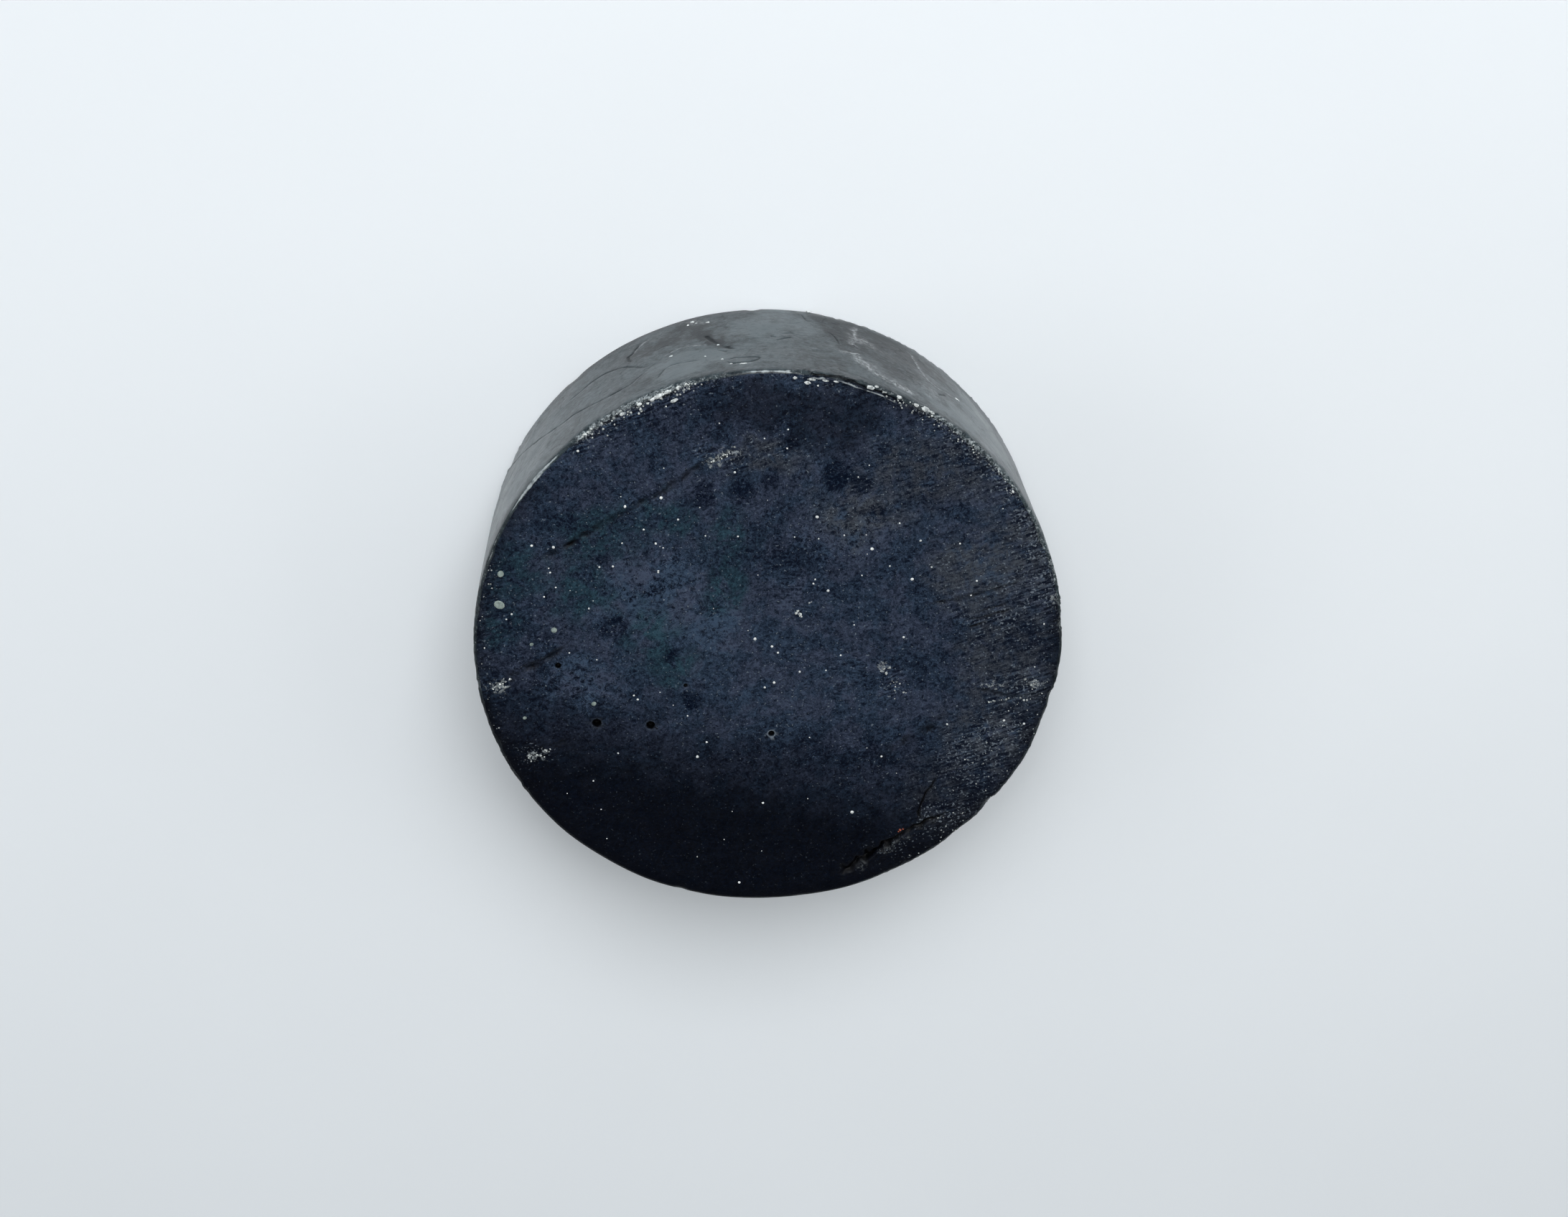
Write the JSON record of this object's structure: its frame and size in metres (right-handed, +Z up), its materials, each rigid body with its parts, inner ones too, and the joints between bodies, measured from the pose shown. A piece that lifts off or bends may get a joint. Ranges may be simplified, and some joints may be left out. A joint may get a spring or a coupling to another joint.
{
  "type": "shaving soap puck",
  "caption": "Round slab of hard black shaving soap with flat knife-cut faces and a smooth moulded wall, lathered with a wet brush.",
  "frame": {"origin": "centre of the lower cut face, on the surface that the puck lies on", "axes": "+Z up along the puck's axis, from the lower cut face to the upper one; +Y towards the side of the wall that shows above the face in the picture; +X to the right of the pictured face"},
  "size_m": [0.076, 0.076, 0.025],
  "materials": {
    "charcoal_soap": "hard soap, waxy and satin: near-black with blue, teal and brown mottling on the cut faces, smoother and a little greyer on the moulded wall"
  },
  "bodies": {
    "root": {"soap_puck": "charcoal_soap"}
  },
  "joints": []
}
